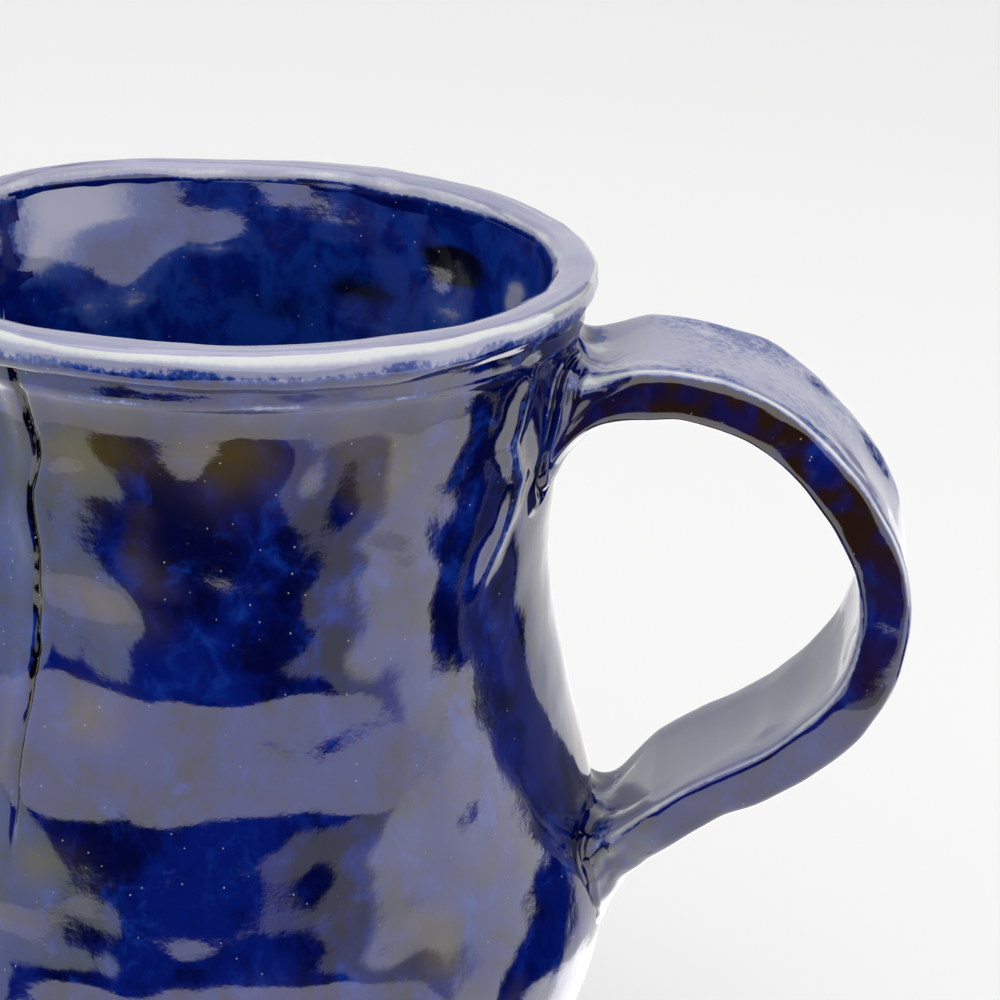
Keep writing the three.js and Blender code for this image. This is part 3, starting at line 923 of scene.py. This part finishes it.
def glaze(name, milk, stain=OLIVE):
    """A glossy cobalt glaze: deep where it pools, milky in streaks, pale where it breaks over edges.

    The first painted value on the mesh says how thinly the glaze lies, with ink below 0, which along the
    seam and in the joints' grooves is partly painted shade; on the rim's top, the strap's upward faces and
    near side, and inside the lip beside the spout, it is painted reflection of the light above. The second,
    warm, says how much of the stain colour it shows; below 0 the glaze is bluer and evener, as inside the
    vessel, where it
    is also painted light: bluer and brighter on the side the light falls on.
    """
    t = Tree(name)
    at = t.node("ShaderNodeTexCoord").outputs["Object"]
    runs = t.node("ShaderNodeMapping", {"Vector": at, "Scale": (1, 1, 0.8)}).outputs[0]
    thin_glaze_and_painted_light, warm = t.painted("thin_glaze_and_painted_light"), t.painted("warm")
    broad = t.noise(runs, 55, 4, 0.6, 0.3)
    cloud = t.noise(runs, 170, 5, 0.65, 0.4)
    grain = t.noise(at, 900, 3, 0.6)
    outside = t.step(warm, -0.5, -0.1)

    depth = t.math("ADD", t.math("MULTIPLY", broad, 0.6), t.math("MULTIPLY", cloud, 0.4))
    # Below 0 the glaze is bluer: inside the vessel, and there partly painted light, most on the side the light
    # falls on.
    bluer = t.math("MULTIPLY", t.math("MINIMUM", warm, 0.0), -0.16)
    colour = t.mix(t.step(t.math("ADD", depth, bluer), 0.40, 0.56), NAVY, COBALT)
    streak = t.math("MULTIPLY", t.step(t.math("ADD", cloud, bluer), 0.52, 0.72), milk)
    colour = t.mix(streak, colour, MILKY)
    patch = t.math("MULTIPLY", t.step(t.noise(at, 38, 2, 0.5), 0.58, 0.72), 0.6)
    stained = t.math("MAXIMUM", t.math("MULTIPLY", patch, outside), warm, True)
    colour = t.mix(stained, colour, stain)

    soft = t.math("MULTIPLY", t.math("SUBTRACT", cloud, 0.5), 0.5)
    mottle = t.math("ADD", soft, t.math("SUBTRACT", grain, 0.5))
    fringe = t.math("MULTIPLY", t.step(thin_glaze_and_painted_light, 0.05, 0.3), t.step(thin_glaze_and_painted_light, 0.46, 0.6, 1.0, 0.22))
    fringe = t.math("MULTIPLY", fringe, t.step(warm, -0.5, -0.1, 0.2, 0.9))
    edge = t.math("ADD", thin_glaze_and_painted_light, t.math("MULTIPLY", mottle, fringe))
    colour = t.mix(t.step(edge, -0.45, -0.08, 1, 0), colour, INK)
    colour = t.mix(t.step(edge, 0.16, 0.42), colour, BREAKING_BLUE)
    colour = t.mix(t.step(edge, 0.38, 0.62), colour, LILAC)
    colour = t.mix(t.step(edge, 0.74, 1.0), colour, CREAM)

    # Pale specks at tiny pits: painted glints, with the pits also sunk in the bump.
    cells = t.node("ShaderNodeTexVoronoi", {"Vector": at, "Scale": 520.0}, feature="F1")
    some = t.node("ShaderNodeSeparateColor", {0: cells.outputs["Color"]}).outputs[0]
    speck = t.step(cells.outputs["Distance"], 0.03, 0.09, 1, 0)
    speck = t.math("MULTIPLY", speck, t.step(some, 0.35, 0.8))
    colour = t.mix(t.math("MULTIPLY", speck, 0.5), colour, CREAM)
    t.feed(t.shader.inputs["Base Color"], colour)
    t.feed(t.shader.inputs["Roughness"], t.step(grain, 0.3, 0.75, 0.05, 0.12))
    t.shader.inputs["IOR"].default_value = 1.52
    fine = t.noise(at, 420, 3, 0.55)
    height = t.math("ADD", t.math("MULTIPLY", fine, 0.7), t.math("MULTIPLY", grain, 0.2))
    t.raised(t.math("SUBTRACT", height, t.math("MULTIPLY", speck, 0.5)), 0.35, 0.00012)
    return t.material


def bare_clay():
    """The unglazed, gritty stoneware of the foot."""
    t = Tree("stoneware_foot")
    at = t.node("ShaderNodeTexCoord").outputs["Object"]
    tone = t.noise(at, 120, 4, 0.6)
    grit = t.noise(at, 1500, 3, 0.7)
    colour = t.mix(t.step(tone, 0.35, 0.65), (0.42, 0.34, 0.25, 1), (0.56, 0.48, 0.38, 1))
    colour = t.mix(t.step(grit, 0.62, 0.72, 0, 0.7), colour, (0.12, 0.08, 0.05, 1))
    t.feed(t.shader.inputs["Base Color"], colour)
    t.feed(t.shader.inputs["Roughness"], t.step(grit, 0.3, 0.7, 0.72, 0.9))
    t.raised(t.math("ADD", t.math("MULTIPLY", grit, 0.5), tone), 0.6, 0.0003)
    return t.material


# ------------------------------------------------------------------------------------- studio


def staged(name, points, faces, material):
    mesh = bpy.data.meshes.new(name)
    mesh.from_pydata(points, [], faces)
    mesh.materials.append(material)
    made = bpy.data.objects.new(name, mesh)
    bpy.context.scene.collection.objects.link(made)
    return made


def emitter(name):
    """A material that only gives light, with its node tree and the colour it gives."""
    material = bpy.data.materials.new(name)
    material.use_nodes = True
    tree = material.node_tree
    tree.nodes.remove(tree.nodes["Principled BSDF"])
    glow = tree.nodes.new("ShaderNodeEmission")
    tree.links.new(glow.outputs[0], tree.nodes["Material Output"].inputs["Surface"])
    return material, tree, glow.inputs["Color"]


WHITE = np.array([1.0, 0.99, 0.98])
GREENISH = np.array([0.90, 1.0, 0.92])
TENT_RADIUS = 1.2
DOME_RADIUS = 2.9
DOME_COLOUR = (0.90, 0.90, 0.905, 1)
PAPER_GLOW = 0.605
FLOOR_HALF = 3.0
FLOOR_SPLIT = 0.35


def tent_light(azimuth, elevation):
    """The soft light from each direction round the pitcher.

    Both angles are in degrees, the azimuth counted from the camera's and the elevation from the level.
    """
    front = 2.7 * band(azimuth, -125, 116, 1.5) * band(elevation, -6, 62, 0.8)
    low = 2.5 * (1 - smooth(elevation + 3 * smooth(azimuth, 70, 90), -32, -30.5))
    end = 78 + 38 * smooth(elevation, -19, -8)
    slant = 1.1 * (elevation + 18.5)
    beside = 1.1 * smooth(azimuth - slant, 25, 28) + 2.1 * smooth(azimuth - slant, 43, 54)
    right = beside * (1 - smooth(azimuth, end - 1.5, end + 1.5)) * band(elevation, -31, -6, 0.8)
    left = 1.9 * smooth(azimuth, -113.5, -110.5) * (1 - smooth(azimuth + slant, -52, -49))
    left = left * band(elevation, -31, -6, 0.8)
    behind = 0.95 * (1 - smooth(180 - np.abs(azimuth), 34, 38)) * band(elevation, -8, 62, 1)
    top = 3.4 * smooth(elevation, 61, 64)
    table = 1.35 * smooth(np.abs(azimuth), 118, 122) * band(elevation, -60, -8, 1)
    white = front + low + right + behind + table + top
    return white[..., None] * WHITE + left[..., None] * GREENISH


def make_tent():
    """A closed shell of soft light all round, seen only by the pitcher and the floor."""
    # Where the light changes, as (degrees, width, how much closer the samples lie).
    edges = [(-125, 3, 8), (-112, 3, 8), (-50, 16, 4), (30, 14, 4), (50, 14, 3), (78, 3, 8), (101, 14, 5)]
    edges += [(120, 3, 8), (-120, 3, 4), (144, 4, 5), (-144, 4, 5)]
    azimuth = spread(300, -180, 180, edges)[:-1]
    elevation = spread(150, -88, 88, [(-36, 2, 4), (-31, 2, 12), (-6, 2, 12), (62, 2, 6)])
    a, e = np.meshgrid(azimuth, elevation, indexing="ij")
    turn, rise = np.radians(a) + VIEW_AZIMUTH, np.radians(e)
    shell = np.stack([np.cos(rise) * np.cos(turn), np.cos(rise) * np.sin(turn), np.sin(rise)], -1)
    points = (np.array(RIM_CENTRE) + TENT_RADIUS * shell).reshape(-1, 3)
    rows, columns = a.shape
    faces = []
    for i in range(rows):
        for j in range(columns - 1):
            here, beyond = i * columns + j, (i + 1) % rows * columns + j
            faces.append((here, here + 1, beyond + 1, beyond))
    material, tree, colour = emitter("tent_light")
    light = tree.nodes.new("ShaderNodeAttribute")
    light.attribute_name = "light"
    tree.links.new(light.outputs["Color"], colour)
    tent = staged("light_tent", points.tolist(), faces, material)
    colours = np.ones((rows * columns, 4), np.float32)
    colours[:, :3] = tent_light(a, e).reshape(-1, 3)
    tent.data.attributes.new("light", "FLOAT_COLOR", "POINT").data.foreach_set("color", colours.ravel())
    tent.visible_camera = False


def make_floor():
    """Pale paper in two sheets; the one on the camera's side isn't seen in the reflections."""
    paper = bpy.data.materials.new("paper")
    paper.use_nodes = True
    shader = paper.node_tree.nodes["Principled BSDF"]
    shader.inputs["Base Color"].default_value = (0.15, 0.15, 0.15, 1)
    shader.inputs["Emission Color"].default_value = (1, 1, 1, 1)
    shader.inputs["Emission Strength"].default_value = PAPER_GLOW
    shader.inputs["Roughness"].default_value = 0.9
    facing = Matrix.Rotation(VIEW_AZIMUTH + math.pi / 2, 4, "Z")

    def sheet(name, near, far):
        corners = [(-FLOOR_HALF, near, 0), (FLOOR_HALF, near, 0), (FLOOR_HALF, far, 0), (-FLOOR_HALF, far, 0)]
        points = [tuple(facing @ Vector(corner)) for corner in corners]
        return staged(name, points, [(0, 1, 2, 3)], paper)

    sheet("floor_front", -FLOOR_HALF, FLOOR_SPLIT).visible_glossy = False
    sheet("floor_back", FLOOR_SPLIT, FLOOR_HALF)


def make_surround():
    """A pale dome that only the camera sees."""
    material, _, colour = emitter("surround")
    colour.default_value = DOME_COLOUR
    rings, spokes = 10, 32
    points = []
    for i in range(rings + 1):
        for k in range(spokes):
            way = direction(2 * math.pi * k / spokes, math.pi / 2 * i / rings)
            points.append(tuple(DOME_RADIUS * way))
    faces = []
    for i in range(rings):
        for k in range(spokes):
            a, b = i * spokes + k, i * spokes + (k + 1) % spokes
            faces.append((a, b, b + spokes, a + spokes))
    surround = staged("surround", points, faces, material)
    surround.visible_glossy = False
    surround.visible_diffuse = False
    surround.visible_shadow = False


def make_studio():
    world = bpy.data.worlds.new("studio")
    world.use_nodes = True
    background = world.node_tree.nodes["Background"]
    background.inputs["Color"].default_value = (0.012, 0.012, 0.014, 1)
    bpy.context.scene.world = world
    bpy.context.scene.view_settings.view_transform = "Standard"
    make_floor()
    make_surround()
    make_tent()


# ------------------------------------------------------------------------------------- the scene

make_camera()
make_studio()
body_glaze = glaze("cobalt_glaze_body", 0.5)
make_body(body_glaze)
make_base(bare_clay(), body_glaze)
make_rim(glaze("cobalt_glaze_rim", 0.6))
make_spout(glaze("cobalt_glaze_spout", 0.5))
make_handle(glaze("cobalt_glaze_handle", 0.5, IRON))
make_joints(glaze("cobalt_glaze_joints", 0.4, IRON))
